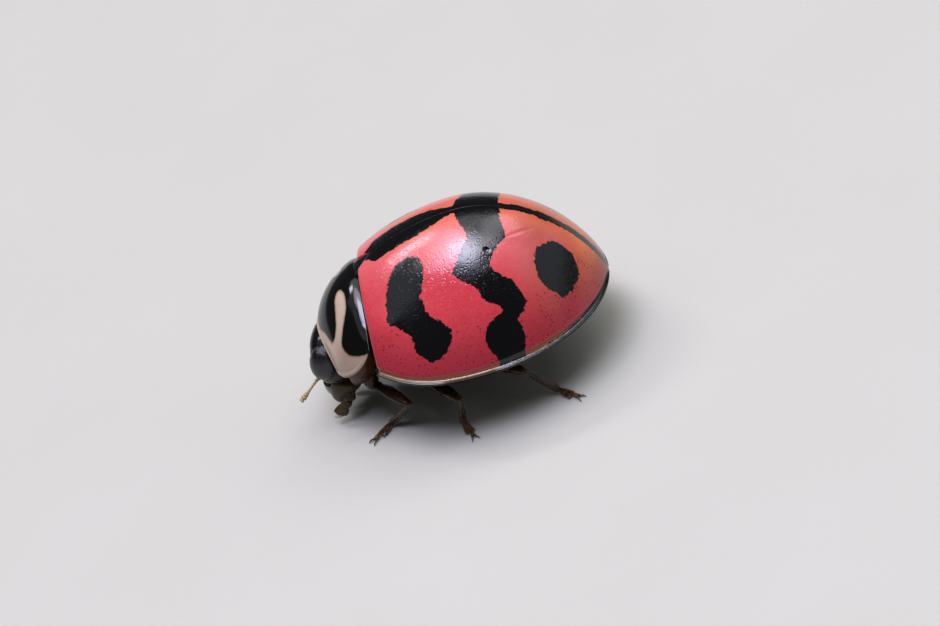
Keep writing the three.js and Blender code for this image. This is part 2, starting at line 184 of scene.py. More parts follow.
class Finish:
    """A material under a Principled surface, with the tools that add nodes to it."""

    def __init__(self, name, **sockets):
        """Sockets of the surface are set by their names, in small letters."""
        self.material = bpy.data.materials.new(name)
        self.material.use_nodes = True
        self.tree = self.material.node_tree
        self.surface = self.tree.nodes["Principled BSDF"]
        for key, value in sockets.items():
            socket = key.replace("_", " ").title().replace("Ior", "IOR")
            self.surface.inputs[socket].default_value = value

    def feed(self, socket, value):
        """Links a socket to a node's output, or sets it to a number or a colour."""
        if isinstance(value, bpy.types.NodeSocket):
            self.tree.links.new(value, socket)
        else:
            socket.default_value = (*value, 1) if isinstance(value, tuple) else value

    def add(self, kind, inputs=(), **settings):
        """A node of that kind, its settings set and its inputs fed by name or number."""
        node = self.tree.nodes.new(kind)
        for key, value in settings.items():
            setattr(node, key, value)
        for key, value in dict(inputs).items():
            self.feed(node.inputs[key], value)
        return node

    def pattern(self, kind, size, **inputs):
        """A texture node on the piece's own coordinates, its features this many millimetres."""
        here = self.add("ShaderNodeTexCoord").outputs["Object"]
        return self.add(kind, {"Vector": here, "Scale": 1 / (size * MM), **inputs})

    def noise(self, size, detail=2.0):
        """Cloudy noise from 0 to 1."""
        return self.pattern("ShaderNodeTexNoise", size, Detail=detail).outputs["Fac"]

    def cells(self, size):
        """Distance to the nearest of scattered points that lie about the size apart."""
        return self.pattern("ShaderNodeTexVoronoi", size).outputs["Distance"]

    def value(self, name):
        """The number that the mesh holds under this name at each point."""
        return self.add("ShaderNodeAttribute", attribute_name=name).outputs["Fac"]

    def math(self, operation, *numbers):
        """The numbers put through that operation, such as ADD."""
        return self.add("ShaderNodeMath", enumerate(numbers), operation=operation).outputs[0]

    def times(self, first, second):
        """Their product."""
        return self.math("MULTIPLY", first, second)

    def scaled(self, value, factor, offset):
        """The value times the factor, plus the offset."""
        return self.math("MULTIPLY_ADD", value, factor, offset)

    def ragged(self, value, size, detail, amount):
        """The value plus noise that swings by half the amount either way."""
        return self.math("ADD", value, self.scaled(self.noise(size, detail), amount, -amount / 2))

    def spread(self, value, low, high, to_low=0.0, to_high=1.0):
        """A value's range from low to high stretched to another, smoothly, and held at its ends."""
        inputs = {"Value": value, "From Min": low, "From Max": high}
        inputs |= {"To Min": to_low, "To Max": to_high}
        stretch = self.add("ShaderNodeMapRange", inputs, interpolation_type="SMOOTHSTEP")
        return stretch.outputs["Result"]

    def blend(self, share, first, second):
        """Colour that goes from the first to the second as the share goes from 0 to 1."""
        inputs = {"Factor": share, 6: first, 7: second}
        return self.add("ShaderNodeMix", inputs, data_type="RGBA").outputs[2]

    def mottled(self, size, detail, first, second):
        """Colour that wanders between the two in blotches."""
        return self.blend(self.noise(size, detail), first, second)

    def colour(self, ground, *layers):
        """The ground colour with layers over it, each a pair of a share and a colour."""
        for share, layer in layers:
            ground = self.blend(share, ground, layer)
        self.feed(self.surface.inputs["Base Color"], ground)

    def relief(self, *heights, socket="Normal"):
        """Bumps, one upon another, from pairs of a height and its depth in millimetres."""
        normal = {}
        for height, depth in heights:
            inputs = {"Height": height, "Distance": depth * MM, "Strength": 1.0, **normal}
            normal = {"Normal": self.add("ShaderNodeBump", inputs).outputs["Normal"]}
        self.feed(self.surface.inputs[socket], normal["Normal"])


FLOOR_HALF = 2.0
paint = Finish("pale_floor", roughness=0.75, specular_ior_level=0.2)
paint.colour(paint.mottled(4.0, 4.0, (0.322, 0.316, 0.278), (0.342, 0.336, 0.298)))
paint.relief((paint.noise(0.4, 5.0), 0.01))
floor_mesh = bpy.data.meshes.new("floor")
corners = FLOOR_HALF * np.array([(-1, -1, 0), (1, -1, 0), (1, 1, 0), (-1, 1, 0)])
floor_mesh.from_pydata(corners.tolist(), [], [(0, 1, 2, 3)])
floor_mesh.materials.append(paint.material)
floor = show("floor", floor_mesh)
floor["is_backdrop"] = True

# ------------------------
# Wing cases. Two hard domed shells of clear horn over red pigment meet along the back. Each has
# a rolled bead round its lower rim with a shallow gutter above it, a flat ledge turned in below,
# and the black marks lie in the horn itself.

WING_LENGTH, WING_WIDTH, DOME_HEIGHT = 4.75, 4.82, 2.3
WIDEST_AT, HIGHEST_AT = 0.34, 0.47  # shares of the length
FRONT_WIDTH, FRONT_HEIGHT = 0.79, 0.57  # shares of the greatest width and height
ARCH = 1.15  # the angle whose sine spaces the points from suture to rim
SCUTELLUM_WIDTH, SCUTELLUM_LENGTH = 0.46, 0.42
SHELL_WALL, SUTURE_GAP = 0.09, 0.0015
BEAD_RADIUS, LEDGE_WIDTH, LEDGE_RISE = 0.03, 0.42, 0.10
GUTTER_DEPTH, GUTTER_FROM_RIM, GUTTER_WIDTH = 0.042, 0.10, 0.06
SEAM_DEPTH, SEAM_WIDTH = 0.002, 0.012
LIP_DROP, LIP_LENGTH = 0.06, 0.09
SHOULDER_HEIGHT, SHOULDER_PLACE, SHOULDER_SIZE = 0.035, (0.45, 1.75), (0.25, 0.3)
STATIONS, OUTER_POINTS, BEAD_POINTS, LEDGE_POINTS = 230, 150, 10, 12
SIDES = {"left": 1, "right": -1}


def signed_volume(points, faces):
    """A sixth of the sum of the faces' triple products, each face cut into two triangles: above 0
    when they run anticlockwise seen from outside."""
    a, b, c, d = np.moveaxis(points[[(*face, face[-1])[:4] for face in faces]], 1, 0)
    return (a * (np.cross(b, c) + np.cross(c, d))).sum() / 6


def closed_bodies(bodies, ends):
    """Points and outward faces of closed bodies. Each is an array of rings that follow one
    another from end to end. A "fan" end gathers in its middle; a "strip" end joins the ring's
    first half, the outer face of a plate, to its second half."""
    points = np.concatenate([rings.reshape(-1, 3) for rings in bodies])
    faces, start = [], 0
    for rings in bodies:
        rows, around, _ = rings.shape
        index = start + np.arange(rows * around).reshape(rows, around)
        start += rows * around
        after = np.roll(index, -1, axis=1)
        own = np.stack([index[:-1], after[:-1], after[1:], index[1:]], -1).reshape(-1, 4).tolist()
        for row, order in ((0, 1), (rows - 1, -1)):
            if ends == "fan":
                cap = np.stack([after[row], index[row], np.full(around, len(points))], -1)
                points = np.vstack([points, rings[row].mean(0)])
            else:
                near, far = index[row][: around // 2], index[row][::-1][: around // 2]
                cap = np.stack([near[1:], near[:-1], far[:-1], far[1:]], -1)
            own += cap[:, ::order].tolist()
        faces += own if signed_volume(points, own) > 0 else [face[::-1] for face in own]
    return points, faces


def make_piece(name, bodies, paint, stands_for=(), ends="fan", values=()):
    """A piece that rides on the model, from closed bodies of points in the body frame. Values are
    numbers for each point, in order, that its finish reads by name."""
    points, faces = closed_bodies([np.asarray(rings, float) for rings in bodies], ends)
    mesh = bpy.data.meshes.new(name)
    mesh.from_pydata(on_stand(points).tolist(), [], faces)
    mesh.materials.append(paint.material)
    mesh.shade_smooth()
    for key, numbers in dict(values).items():
        flat = np.ravel(numbers).astype(np.float32)
        flat = np.append(flat, np.full(len(points) - len(flat), flat[-1], np.float32))
        mesh.attributes.new(key, "FLOAT", "POINT").data.foreach_set("value", flat)
    piece = show(name, mesh)
    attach(piece, "root")
    if stands_for:
        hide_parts(*stands_for)


def swell(along, peak, front, front_power, rear):
    """From 1 at the peak, down to front at 0 by a power law, and to 0 at 1 by the rear formula."""
    before = np.clip((peak - along) / peak, 0, 1)
    behind = np.clip((along - peak) / (1 - peak), 0, 1)
    return np.where(along < peak, 1 - (1 - front) * before**front_power, rear(behind))


def dome_width(along):
    """Half the width: behind the widest place, the root of one less the way to the 2.2."""
    return WING_WIDTH / 2 * swell(along, WIDEST_AT, FRONT_WIDTH, 2.7, lambda t: np.sqrt(1 - t**2.2))


def dome_height(along):
    """Height over the rim: a parabola in front, and behind one less the square, to the 0.7."""
    return DOME_HEIGHT * swell(along, HIGHEST_AT, FRONT_HEIGHT, 2.0, lambda t: (1 - t * t) ** 0.7)


def rim_height(along):
    """The rim climbs as a square does: by 0.25 mm at the shoulders and by 0.05 mm at the tail."""
    front = np.clip((0.4 - along) / 0.4, 0, 1)
    rear = np.clip((along - 0.5) / 0.5, 0, 1)
    return 0.25 * front**2 + 0.05 * rear**2


def to_side(across):
    """How far out to the side: the sine of across over the arch's, 0 at the suture, 1 at the rim."""
    return np.sin(across * ARCH) / np.sin(ARCH)


def dome(along, across, inset=0.0):
    """The back as a dome: each cross-section is a parabola from the rim on one side, over the
    suture at across 0, to the other. The inset shrinks its width, height and length."""
    side = to_side(across)
    share = 1 - inset / (WING_WIDTH / 2)
    x = share * dome_width(along) * side
    z = rim_height(along) + (1 - inset / DOME_HEIGHT) * dome_height(along) * (1 - side**2)
    return np.stack([x, (WING_LENGTH - inset) * along + 0 * x, z], -1)


def grid_normals(points):
    """Unit normals of a grid of points, from the cross product of its two slopes."""
    return unit(np.cross(np.gradient(points, axis=1), np.gradient(points, axis=0)))


def run_along(points, axis):
    """Length walked along a grid's rows or columns, from their first point."""
    steps = np.linalg.norm(np.diff(points, axis=axis), axis=-1)
    start = np.zeros_like(np.take(steps, [0], axis=axis))
    return np.concatenate([start, np.cumsum(steps, axis=axis)], axis=axis)


def cubics(a, b, c, d, steps):
    """Points on a cubic from each b to its c, whose slopes there are half of c less a, and half
    of d less b."""
    t = np.linspace(0, 1, steps, endpoint=False)[None, :, None]
    a, b, c, d = (p[:, None, :] for p in (a, b, c, d))
    curve = 2 * b + (c - a) * t + (2 * a - 5 * b + 4 * c - d) * t**2
    curve = curve + (3 * b - a - 3 * c + d) * t**3
    return 0.5 * curve.reshape(-1, curve.shape[-1])


def smooth_outline(corners, per_side=14):
    """A closed curve of cubics through its corners."""
    p = np.array(corners, float)
    return cubics(np.roll(p, 1, 0), p, np.roll(p, -1, 0), np.roll(p, -2, 0), per_side)


def distance_to(outline, u, v):
    """Signed distance from points (u, v) to a closed outline: the least to any side, and below 0
    where a ray crosses the outline an odd number of times."""
    p = np.stack([u.ravel(), v.ravel()], -1)[:, None, :]
    start, end = outline, np.roll(outline, -1, 0)
    side = end - start
    along = np.clip(((p - start) * side).sum(-1) / (side**2).sum(-1), 0, 1)
    gap = np.linalg.norm(p - start - along[..., None] * side, axis=-1).min(1)
    crosses = (start[:, 1] > p[..., 1]) != (end[:, 1] > p[..., 1])
    slope = side[:, 0] / np.where(side[:, 1] == 0, 1e-9, side[:, 1])
    left = p[..., 0] < start[:, 0] + (p[..., 1] - start[:, 1]) * slope
    inside = (crosses & left).sum(1) % 2 == 1
    return np.where(inside, -gap, gap).reshape(u.shape)


# The marks' outlines: distance from the front edge, and from the suture over the arch.
BENT_MARK = [
    (0.97, 0.695), (1.24, 0.755), (1.39, 0.94), (1.34, 1.31), (1.22, 1.55), (1.26, 1.77),
    (1.33, 2.0), (1.53, 2.21), (1.67, 2.41), (1.59, 2.64), (1.44, 2.82), (1.15, 2.87),
    (1.03, 2.72), (0.89, 2.56), (0.88, 2.31), (0.81, 2.12), (0.65, 1.90), (0.48, 1.70),
    (0.50, 1.45), (0.52, 1.21), (0.62, 1.00), (0.78, 0.755),
]
ZIGZAG_BAND = [
    (2.15, -0.3), (2.19, 0.27), (2.33, 0.68), (2.21, 0.91), (1.97, 1.27), (1.92, 1.40),
    (2.06, 1.58), (2.30, 1.76), (2.40, 2.01), (2.57, 2.12), (2.68, 2.25), (2.46, 2.43),
    (2.32, 2.61), (2.24, 2.80), (2.28, 3.01), (2.38, 3.20), (2.43, 3.6), (2.9, 3.6),
    (2.95, 3.15), (2.99, 2.90), (3.01, 2.61), (2.97, 2.45), (3.06, 2.28), (3.2, 2.05),
    (3.12, 1.86), (3.02, 1.63), (2.82, 1.54), (2.70, 1.40), (2.74, 1.19), (2.87, 0.99),
    (3.04, 0.78), (3.08, 0.63), (3.04, 0.40), (2.99, -0.3),
]
REAR_SPOT = [
    (3.58, 0.885), (3.72, 0.72), (3.85, 0.59), (4.0, 0.555), (4.10, 0.59), (4.19, 0.62),
    (4.235, 0.76), (4.26, 0.98), (4.145, 1.29), (4.03, 1.52), (3.86, 1.75), (3.75, 1.70),
    (3.62, 1.66), (3.51, 1.56), (3.48, 1.44), (3.49, 1.13),
]
RIM_BLACK_FROM = 2.35  # behind this y the rim is edged with black


def stripe_half_width(y):
    """The stripe along the suture narrows by a smooth step, from 0.35 mm in front to 0.11 mm."""
    broad = np.clip((RIM_BLACK_FROM - y) / 1.1, 0, 1)
    return 0.11 + 0.24 * broad**2 * (3 - 2 * broad)


def mark_distance(y, v, rim):
    """Signed distance to the nearest black mark: the stripe with its blunt front end, the rim's
    edge, broader towards the tail, or one of the outlines."""
    stripe = np.maximum(v - stripe_half_width(y), 0.10 + v - y)
    tail = np.clip((y - 2.9) / 1.7, 0, 1)
    edge = rim - (0.055 + 0.10 * tail) * np.clip((y - RIM_BLACK_FROM) / 0.2, -1, 1)
    marks = [distance_to(smooth_outline(m), y, v) for m in (BENT_MARK, ZIGZAG_BAND, REAR_SPOT)]
    return np.minimum.reduce([stripe, edge, *marks])


def hump(distance, width):
    """A smooth hump, 1 at its middle: e to the power of minus the squared distance in widths."""
    return np.exp(-((distance / width) ** 2))


# A scar and a crease, on the left wing case only. Places are y and distance from the suture.
SCAR_PLACE, SCAR_WIDTH, SCAR_DEPTH = (2.67, 1.05), 0.042, 0.030
SCAR_RING_HEIGHT, SCAR_RING_AT = 0.12, 1.8  # shares of its depth and width
CREASE_START, CREASE_END = np.array([3.03, 0.80]), np.array([3.67, 0.40])
CREASE_DEPTH, CREASE_WIDTH = 0.014, 0.022


def wear(y, v):
    """The scar is a round hump turned down with a low ring about it. The crease is a hump about
    its line, which fades by a sine towards both ends."""
    radius = np.hypot(y - SCAR_PLACE[0], v - SCAR_PLACE[1])
    ring = SCAR_RING_HEIGHT * hump(radius - SCAR_RING_AT * SCAR_WIDTH, SCAR_WIDTH / 2)
    scar = SCAR_DEPTH * (hump(radius, SCAR_WIDTH) - ring)
    way = CREASE_END - CREASE_START
    reach = np.stack([y, v], -1) - CREASE_START
    share = np.clip((reach * way).sum(-1) / (way @ way), 0, 1)
    off = np.hypot(*np.moveaxis(reach - share[..., None] * way, -1, 0))
    return -scar - CREASE_DEPTH * hump(off, CREASE_WIDTH) * np.sin(np.pi * share)


def rolled_bead(along, radius):
    """The rim's outward direction, square to the edge in plan, and the bead: an arc from its top,
    out and under, about a line one radius inside the edge."""
    edge = dome(along, np.ones_like(along))
    slope = np.gradient(edge, axis=0)
    outward = unit(np.stack([slope[:, 1], -slope[:, 0], 0 * along], -1))
    centre, outward = (edge - outward * radius)[:, None], outward[:, None]
    angle = np.radians(np.linspace(100, -90, BEAD_POINTS))[None, :, None]
    radius = radius[..., None]
    sideways, upwards = radius * np.cos(angle), radius * np.sin(angle)
    return outward, centre + sideways * outward + upwards * np.array([0, 0, 1.0])


def wing_case(side):
    """Rings of one wing case, and the values that its finish reads. Each ring runs over the dome
    from suture to rim, round the bead, in along the ledge and back under the dome."""
    along = (1 - (1 - np.linspace(0, 1, STATIONS)[:, None]) ** 1.5) * 0.9996
    y = along * WING_LENGTH
    notch = SCUTELLUM_WIDTH / 2 * np.clip(1 - y / SCUTELLUM_LENGTH, 0, 1) + SUTURE_GAP
    start = np.arcsin(np.minimum(notch / dome_width(along), 0.9) * np.sin(ARCH)) / ARCH
    share = np.hstack([0, 0.0012, np.linspace(0, 1, OUTER_POINTS - 1)[1:]])
    across = start + (1 - start) * share
    outer = dome(along, across)
    normals = grid_normals(outer)
    normals *= np.sign(normals[..., 2:3] + 1e-9)
    v = run_along(outer, 1) + notch
    rim = v[:, -1:] - v
    y_grid = y + 0 * v
    taper = np.minimum(1, dome_width(along) / 0.5)

    gutter = GUTTER_DEPTH * hump(rim - GUTTER_FROM_RIM, GUTTER_WIDTH) * taper
    seam = SEAM_DEPTH * hump(v - notch, SEAM_WIDTH)
    lip = LIP_DROP * np.clip(1 - y_grid / LIP_LENGTH, 0, 1) ** 2
    shoulder = SHOULDER_HEIGHT * hump(y_grid - SHOULDER_PLACE[0], SHOULDER_SIZE[0])
    shoulder = shoulder * hump(v - SHOULDER_PLACE[1], SHOULDER_SIZE[1])
    lift = shoulder - gutter - seam - lip + (wear(y_grid, v) if side > 0 else 0)
    outer = outer + lift[..., None] * normals
    outward, rolled = rolled_bead(along[:, 0], BEAD_RADIUS * taper)
    # The outer face is eased down onto the bead's top.
    ease = hump(rim, 0.045)[..., None]
    outer = outer + ease * (rolled[:, :1] - outer[:, -1:])

    ledge_width = LEDGE_WIDTH * np.clip(1.15 - along, 0.15, 1) * taper
    across_ledge = np.linspace(0, 1, LEDGE_POINTS + 1)[1:]
    ledge = rolled[:, -1:] - outward * (ledge_width * across_ledge)[..., None]
    ledge[..., 2] += LEDGE_RISE * across_ledge**1.5 * taper
    under_points = OUTER_POINTS - LEDGE_POINTS
    thin = np.minimum(SHELL_WALL, 0.25 * dome_width(along))[..., None]
    inner = dome(along, across[:, ::-1]) - thin * normals[:, ::-1]
    under = inner[:, np.linspace(6, OUTER_POINTS - 1, under_points).astype(int)]
    # The first quarter of the inner face climbs from the ledge's inner edge.
    climb = np.clip(np.linspace(0, 1, under_points + 1)[1:] / 0.25, 0, 1)[None, :, None]
    under = ledge[:, -1:] * (1 - climb) ** 2 + under * (1 - (1 - climb) ** 2)
    rings = np.concatenate([outer, rolled, ledge, under], 1)
    rings[..., 0] = side * np.maximum(rings[..., 0], SUTURE_GAP * 0.5)

    def whole(outer_values, beyond):
        """Values on the outer face, carried on over the rest of each ring."""
        rest = (STATIONS, rings.shape[1] - OUTER_POINTS)
        return np.hstack([outer_values, np.broadcast_to(beyond, rest)])

    on_bead = np.arange(rings.shape[1] - OUTER_POINTS) < BEAD_POINTS
    bead_black = np.clip(RIM_BLACK_FROM - y, -0.2, 0.2)
    turned_in = np.append(np.zeros(BEAD_POINTS), -np.linspace(0.03, 1, OUTER_POINTS))
    return rings, {
        "mark": whole(mark_distance(y_grid, v, rim), np.where(on_bead, bead_black, 0.3)),
        "rim": whole(rim, turned_in),
        "suture": whole(v * (1 if side > 0 else 0.6), v[:, -1:]),
        "station": whole(y_grid, y),
    }


def clear_horn(name, **sockets):
    """Dull pigment under a clear skin, which alone shines."""
    usual = {"roughness": 0.5, "coat_weight": 1.0, "specular_ior_level": 0.0}
    return Finish(name, **{**usual, **sockets})


def wing_case_finish():
    """Clear horn over red: pink-red pigment, orange towards the suture and tail, an amber rim,
    black marks with ragged edges, and fine pits that show as dots low on the flank."""
    paint = clear_horn("wing_case_horn", coat_roughness=0.14, coat_ior=1.48)
    rim, station, suture = (paint.value(key) for key in ("rim", "station", "suture"))
    spread, noise, times = paint.spread, paint.noise, paint.times
    edge = paint.ragged(paint.ragged(paint.value("mark"), 0.07, 2.0, 0.11), 0.3, 1.0, 0.08)
    uneven_rim = paint.scaled(noise(0.15, 3.0), 0.12, rim)
    smeared = spread(noise(0.5, 2.0), 0.3, 0.6, 0.45, 0.9)
    dot = times(spread(paint.cells(0.078), 0.19, 0.31, 1, 0), spread(noise(0.25, 1.0), 0.40, 0.50))
    low_flank = times(spread(rim, 1.3, 1.0, 0.03, 1), spread(rim, 0.1, 0.2))
    in_gutter = times(spread(rim, 0.012, 0.03), spread(uneven_rim, 0.11, 0.07))
    # Where the rear gutter gets a painted highlight, a lavender reflection laid into its colour.
    rear_gutter_painted_highlight = times(in_gutter, times(spread(station, 2.35, 2.6), spread(station, 4.5, 3.7)))
    amber = paint.mottled(0.12, 2.0, (0.06, 0.030, 0.003), (0.17, 0.085, 0.006))
    ledge = paint.mottled(0.2, 3.0, (0.20, 0.045, 0.018), (0.28, 0.085, 0.030))
    paint.colour(
        paint.mottled(0.7, 3.0, (0.35, 0.021, 0.031), (0.40, 0.034, 0.044)),
        (spread(noise(0.06, 3.0), 0.35, 0.75, 0, 0.3), (0.44, 0.07, 0.08)),  # flecks
        # Paler along the back and duller to the rear, orange by the suture and at the tail.
        (spread(paint.scaled(station, -0.28, suture), 1.0, 0.0, 0, 0.85), (0.46, 0.085, 0.092)),
        (times(spread(station, 2.7, 3.9), smeared), (0.26, 0.043, 0.024)),
        (times(spread(suture, 0.2, 0.6, 0.55, 0), spread(station, 0.3, 1.1)), (0.42, 0.10, 0.035)),
        (spread(station, 3.95, 4.7, 0, 0.85), (0.46, 0.112, 0.020)),
        (spread(rim, 1.5, 0.2, 0, 0.85), (0.17, 0.012, 0.020)),  # painted shade: the flank darkened towards the rim
        (spread(uneven_rim, 0.22, 0.14, 0, 0.92), amber),
        (spread(rim, 0.045, 0.025), (0.012, 0.006, 0.003)),  # the bead's dark line
        (spread(rim, -0.04, -0.10), ledge),
        (times(times(dot, low_flank), 0.8), (0.08, 0.006, 0.012)),
        (spread(edge, -0.016, 0.0, 1, 0), (0.0012, 0.0012, 0.0015)),  # the black marks
        (times(rear_gutter_painted_highlight, 0.75), (0.24, 0.23, 0.30)),  # painted highlight: a lavender reflection along the rear gutter
    )
    dull_bead = times(spread(rim, 0.07, 0.04), spread(rim, -0.12, -0.06))
    dull_bead = times(dull_bead, times(spread(station, 1.15, 1.4), spread(station, 2.45, 2.25)))
    paint.feed(paint.surface.inputs["Coat Weight"], paint.scaled(dull_bead, -0.85, 1.0))

    pits, grain, swells = spread(paint.cells(0.060), 0.0, 0.45), noise(0.022, 3.0), noise(0.4, 1.0)
    paint.relief((pits, 0.002), (grain, 0.002), (swells, 0.007))
    paint.relief((pits, 0.0024), (grain, 0.002), (swells, 0.007), socket="Coat Normal")
    return paint


paint = wing_case_finish()
for name, side in SIDES.items():
    rings, values = wing_case(side)
    make_piece(f"wing_case_{name}", [rings], paint, [f"elytron_{name}"], "strip", values)

# ------------------------
# Scutellum. A small black triangle of horn, wedged between the front corners of the wing cases
# and fixed to the back of the thorax.

SCUTELLUM_GAP, SCUTELLUM_SUNK, SCUTELLUM_THICK = 0.012, 0.012, 0.12

paint = clear_horn("scutellum_horn", coat_roughness=0.1)
paint.colour(paint.mottled(0.1, 3.0, (0.002, 0.002, 0.002), (0.007, 0.005, 0.004)))
paint.relief((paint.cells(0.06), 0.003), (paint.noise(0.02, 2.0), 0.001))


def plate_grid(first, last, rows, columns):
    """Along, from first to last, down the rows of a grid, and across, from -1 to 1, over them."""
    return np.meshgrid(np.linspace(first, last, rows), np.linspace(-1, 1, columns), indexing="ij")


# A triangle with slightly bowed edges that lies in the dome, its rims and front rolled down.
share, sideways = plate_grid(0, 1, 24, 25)
x = ((SCUTELLUM_WIDTH / 2 - SCUTELLUM_GAP) * (1 - share**1.15) + 0.003) * sideways
y = -0.03 + (SCUTELLUM_LENGTH - 0.01) * share
top = dome(y / WING_LENGTH, np.abs(x) / 2.4)[..., 2] - SCUTELLUM_SUNK
face = np.stack([x, y, top - 0.03 * np.abs(sideways) ** 4 - 0.02 * hump(share, 0.08)], -1)
plate = np.hstack([face, face[:, ::-1] - [0, 0, SCUTELLUM_THICK]])
make_piece("scutellum_plate", [plate], paint, ["scutellum"], "strip")

# ------------------------
# Shield. The pronotum is one curved plate over the first segment, black with cream patches, and
# it hides the neck. Its sides end in a thin rolled edge and its front is cut back for the head.

SHIELD_MIDLINE = [(0, -0.02, 1.47), (0, -0.48, 1.32), (0, -0.9, 0.96), (0, -1.09, 0.36)]
SHIELD_EDGE = [(1.56, -0.06, 0.6), (1.74, -0.39, 0.1), (1.48, -0.82, -0.02), (1.03, -0.84, -0.08)]
SHIELD_HEART = np.array([0, -0.1, -0.1])
SHIELD_SHARPNESS = 1.25
SHIELD_ROWS, SHIELD_COLUMNS = 140, 181
SHIELD_INNER_SIZE, INSIDE_MARK = 0.93, -0.2

# Half of the black field, as (distance from the midline, distance from the back edge).
SHIELD_BLACK = [
    (-0.3, -0.2), (1.0, -0.2), (1.86, -0.15), (1.84, 0.12), (1.76, 0.35), (1.6, 0.57),
    (1.4, 0.70), (1.23, 0.72), (1.08, 0.62), (0.92, 0.50), (0.75, 0.385), (0.5, 0.345),
    (0.36, 0.38), (0.27, 0.46), (0.29, 0.55), (0.38, 0.62), (0.63, 0.68), (0.87, 0.76),
    (0.98, 0.89), (0.96, 1.00), (0.85, 1.06), (0.6, 1.19), (0.4, 1.34), (0.2, 1.47), (0, 1.52),
    (-0.3, 1.52),
]


def bezier(controls, t):
    """A cubic curve: the four control points weighted by the Bernstein polynomials."""
    p = np.array(controls, float)
    t = np.asarray(t, float)[..., None]
    curve = (1 - t) ** 3 * p[0] + 3 * (1 - t) ** 2 * t * p[1]
    return curve + 3 * (1 - t) * t**2 * p[2] + t**3 * p[3]


def shield_surface(along, across, size=1.0):
    """The midline and the side edge are cubic curves. Across, the plate falls from one to the
    other by a sharpened parabola, and size draws it in towards a point below it."""
    middle, edge = bezier(SHIELD_MIDLINE, along), bezier(SHIELD_EDGE, along)
    side = to_side(across)
    fall = 1 - np.clip(1 - side**2, 0, 1) ** SHIELD_SHARPNESS
    p = middle + (edge - middle) * fall[..., None]
    p[..., 0] = edge[..., 0] * side
    return (p - SHIELD_HEART) * size + SHIELD_HEART


paint = clear_horn("shield_horn", coat_roughness=0.13, coat_ior=1.42)
mark = paint.ragged(paint.value("mark"), 0.08, 2.0, 0.03)
paint.colour(
    paint.mottled(0.12, 3.0, (0.30, 0.22, 0.165), (0.36, 0.28, 0.215)),
    # painted shade: the cream darkened towards the sides
    (paint.spread(paint.value("side"), 0.9, 1.6, 0, 0.75), (0.16, 0.115, 0.085)),
    (paint.spread(paint.value("mark"), 0.0, 0.07, 0.5, 0), (0.16, 0.08, 0.035)),
    (paint.spread(mark, -0.02, 0.02, 1, 0), (0.0014, 0.0013, 0.0013)),
)
pits = paint.spread(paint.cells(0.07), 0, 0.35)
paint.relief((pits, 0.0016), (paint.noise(0.02, 2.0), 0.0008))

along, across = plate_grid(-0.015, 1, SHIELD_ROWS, SHIELD_COLUMNS)
outer = shield_surface(along, across)
normals = grid_normals(outer)
normals *= np.sign(((outer - SHIELD_HEART) * normals).sum(-1, keepdims=True))
walked = run_along(outer, 1)
off_middle = np.abs(walked - walked[:, SHIELD_COLUMNS // 2][:, None])
from_back = run_along(outer, 0)
edges = np.minimum(walked[:, -1:] / 2 - off_middle, from_back[-1:] - from_back)
# A bead with a groove beside it runs round the free edges; the back corners are rounded off.
bead = 0.012 * hump(edges - 0.035, 0.03) - 0.012 * hump(edges - 0.10, 0.05)
bead = bead - 0.03 * hump(edges, 0.02)
rounded = 0.06 * np.clip(1 - from_back / 0.24, 0, 1) ** 2
rounded = rounded * np.clip((1.75 - off_middle) / 0.5, 0.2, 1)
outer = outer + (bead * np.clip(from_back / 0.2, 0, 1) - rounded)[..., None] * normals
inner = shield_surface(along, across, SHIELD_INNER_SIZE)[:, ::-1]
plate = np.hstack([outer, inner])
mark = distance_to(smooth_outline(SHIELD_BLACK), off_middle, from_back)
values = {
    "mark": np.hstack([mark, np.full_like(mark, INSIDE_MARK)]),
    "side": np.hstack([off_middle, off_middle]),
}
make_piece("shield_plate", [plate], paint, ["pronotum"], "strip", values)

# ------------------------
# Head. A capsule of horn, wider than long, hangs from a soft neck under the shield. The face is
# cream between the eyes, black at the crown and brown round the mouth, with a shallow groove
# above the lip and a socket for each feeler beside it.

NECK = np.array([0, -0.6, -0.3])
NECK_RADIUS, NECK_FOLD, NECK_LENGTH = 0.4, 0.015, 0.75
HEAD_YAW = np.radians(-14.0)
HEAD_RADII, HEAD_CENTRE = np.array([0.70, 0.45, 0.70]), np.array([0, -0.33, -0.12])
HEAD_SQUARENESS = 0.85
FEELER_SOCKET, SOCKET_DEPTH, SOCKET_WIDTH = np.array([0.47, -0.63, -0.36]), 0.06, 0.08
BROW_DIP, DIP_DEPTH, DIP_WIDTH = np.array([0.2, -0.75, 0.1]), 0.012, 0.16
GROOVE_DEPTH, GROOVE_WIDTH = 0.018, 0.018
NOT_FACE = 0.5

# The cream of the face, as (distance from its midline, height).
FACE_HALF = [
    (0.2, -0.49), (0.32, -0.42), (0.40, -0.28), (0.44, -0.1), (0.46, 0.12), (0.40, 0.28),
    (0.25, 0.30), (0.1, 0.22),
]
FACE_OUTLINE = [(0, -0.50), *FACE_HALF, (0, 0.16), *[(-x, z) for x, z in FACE_HALF[::-1]]]


def in_head(points):
    """Head points, measured from the neck with the nose along -y, to body points: turned about
    the vertical, then moved to the neck."""
    return turned(points, -HEAD_YAW, 0, 1) + NECK


def ball(radii, rows, around, squareness=1.0):
    """A ball stretched to three radii. Its sines and cosines are raised to a power, which below 1
    makes it boxier. Rings run from the top down."""
    down = np.pi * (np.arange(rows) + 0.5)[:, None] / rows
    turn = 2 * np.pi * np.arange(around)[None, :] / around
    waves = (np.cos(turn), np.sin(turn), np.cos(down))
    x, y, z = (np.sign(wave) * np.abs(wave) ** squareness for wave in waves)
    flat = np.sin(down) ** squareness
    return np.stack([flat * x, flat * y, z + 0 * turn], -1) * radii


def away_from(points, place):
    """Distance to a place or to its mirror image, whichever is nearer."""
    return np.linalg.norm(np.where([True, False, False], np.abs(points), points) - place, axis=-1)


